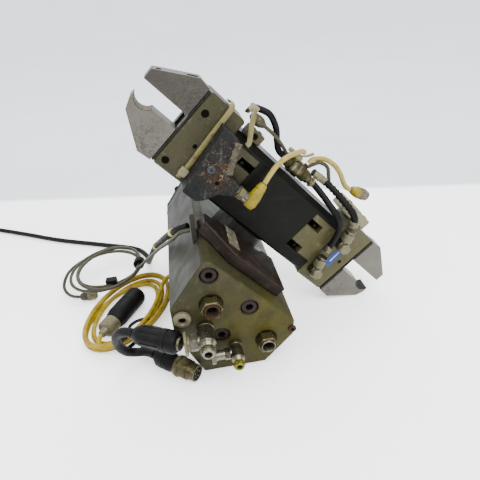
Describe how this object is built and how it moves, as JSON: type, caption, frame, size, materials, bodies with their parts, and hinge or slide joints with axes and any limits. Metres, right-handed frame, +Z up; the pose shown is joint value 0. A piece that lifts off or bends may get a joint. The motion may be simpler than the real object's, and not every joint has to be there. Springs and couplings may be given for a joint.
{
  "type": "pneumatic twin gripper swivel unit",
  "caption": "Angled prism base with a rack-driven swivel carrier that holds parallel jaw grippers at its ends, with air hoses, sensor leads and coiled cables.",
  "frame": {"origin": "centre of the base's flat underside, on the surface it stands on", "axes": "+Z up; +Y along the base from its port face to its rear cover; +X towards the foot of the slope, under the second gripper"},
  "size_m": [0.5592, 0.3746, 0.2341],
  "materials": {
    "olive_anodised": "worn olive hard-anodised, satin",
    "black_anodised": "worn black anodised, satin",
    "bare_aluminium": "machined, scratched",
    "dark_steel": "dark, oiled",
    "rusty_steel": "brown, rusted",
    "nickel": "nickel plated, dulled",
    "black_rubber": "smooth matte",
    "black_plastic": "moulded, matte",
    "grey_plastic": "smooth jacket",
    "yellow_plastic": "smooth jacket",
    "cream_plastic": "yellowed, matte"
  },
  "bodies": {
    "base": {"housing": "olive_anodised", "rear_cover": "dark_steel", "cap_screw_1": "rusty_steel", "cap_screw_2": "rusty_steel", "cap_screw_3": "rusty_steel", "port_fitting_1": "nickel", "port_fitting_2": "nickel", "ring_plug": "nickel", "elbow_fitting_1": "nickel", "elbow_fitting_2": "nickel", "hose_coupling": "black_plastic", "cable_gland": "black_rubber", "cover_plate": "rusty_steel", "cable_clamp": "rusty_steel", "black_cord": "black_rubber", "black_cord_coil": "black_rubber", "black_cord_connector": "black_plastic", "grey_cord": "grey_plastic", "grey_cord_coil": "grey_plastic", "grey_cord_tail": "grey_plastic", "grey_cord_plug": "grey_plastic", "yellow_cord": "yellow_plastic", "yellow_cord_coil": "yellow_plastic", "yellow_cord_connector": "black_plastic", "short_cord": "black_rubber", "short_cord_connector": "black_plastic"},
    "rack_1": {"rack_piston_1": "dark_steel"},
    "rack_2": {"rack_piston_2": "dark_steel"},
    "swivel": {"pinion_shaft": "dark_steel", "carrier": "black_anodised", "end_block_1": "olive_anodised", "end_block_2": "olive_anodised", "sensor_bracket": "rusty_steel", "distributor": "nickel", "hose_1": "black_rubber", "hose_2": "black_rubber", "hose_3": "black_rubber", "yellow_lead_1": "yellow_plastic", "yellow_lead_2": "yellow_plastic", "grey_lead": "grey_plastic", "lead_plug_1": "yellow_plastic", "lead_plug_2": "yellow_plastic", "inline_sensor": "grey_plastic", "sensor_block": "cream_plastic", "white_block": "cream_plastic", "banjo_fitting_1": "nickel", "banjo_fitting_2": "nickel", "gripper_1_housing": "olive_anodised", "gripper_2_housing": "olive_anodised"},
    "gripper_1_upper": {"gripper_1_upper_jaw": "dark_steel", "gripper_1_upper_finger": "bare_aluminium"},
    "gripper_1_lower": {"gripper_1_lower_jaw": "dark_steel", "gripper_1_lower_finger": "bare_aluminium"},
    "gripper_1_drive": {"gripper_1_piston": "dark_steel"},
    "gripper_2_upper": {"gripper_2_upper_jaw": "dark_steel", "gripper_2_upper_finger": "bare_aluminium"},
    "gripper_2_lower": {"gripper_2_lower_jaw": "dark_steel", "gripper_2_lower_finger": "bare_aluminium"},
    "gripper_2_drive": {"gripper_2_piston": "dark_steel"}
  },
  "joints": [
    {"name": "swivel_turn", "type": "hinge", "parent": "base", "child": "swivel", "pos_m": [0.01571, -0.009, 0.08203], "axis": [0.7373, 0, 0.6756], "range_deg": [0, 180]},
    {"name": "rack_1_slide", "type": "slide", "parent": "base", "child": "rack_1", "axis": [0, -1, 0], "range_m": [0, 0.0377]},
    {"name": "rack_2_slide", "type": "slide", "parent": "base", "child": "rack_2", "axis": [0, 1, 0], "range_m": [0, 0.0377]},
    {"name": "gripper_1_upper_slide", "type": "slide", "parent": "swivel", "child": "gripper_1_upper", "axis": [-0.7373, 0, -0.6756], "range_m": [0, 0.006]},
    {"name": "gripper_1_lower_slide", "type": "slide", "parent": "swivel", "child": "gripper_1_lower", "axis": [0.7373, 0, 0.6756], "range_m": [0, 0.006]},
    {"name": "gripper_1_piston_slide", "type": "slide", "parent": "swivel", "child": "gripper_1_drive", "axis": [-0.6756, 0, 0.7373], "range_m": [0, 0.0075]},
    {"name": "gripper_2_upper_slide", "type": "slide", "parent": "swivel", "child": "gripper_2_upper", "axis": [-0.7373, 0, -0.6756], "range_m": [0, 0.006]},
    {"name": "gripper_2_lower_slide", "type": "slide", "parent": "swivel", "child": "gripper_2_lower", "axis": [0.7373, 0, 0.6756], "range_m": [0, 0.006]},
    {"name": "gripper_2_piston_slide", "type": "slide", "parent": "swivel", "child": "gripper_2_drive", "axis": [0.6756, 0, -0.7373], "range_m": [0, 0.0075]}
  ],
  "couplings": [
    {"joint": "rack_1_slide", "follows": "swivel_turn", "m_per_rad": 0.012},
    {"joint": "rack_2_slide", "follows": "swivel_turn", "m_per_rad": 0.012},
    {"joint": "gripper_1_lower_slide", "follows": "gripper_1_upper_slide", "ratio": 1},
    {"joint": "gripper_1_piston_slide", "follows": "gripper_1_upper_slide", "ratio": 1.25},
    {"joint": "gripper_2_lower_slide", "follows": "gripper_2_upper_slide", "ratio": 1},
    {"joint": "gripper_2_piston_slide", "follows": "gripper_2_upper_slide", "ratio": 1.25}
  ]
}
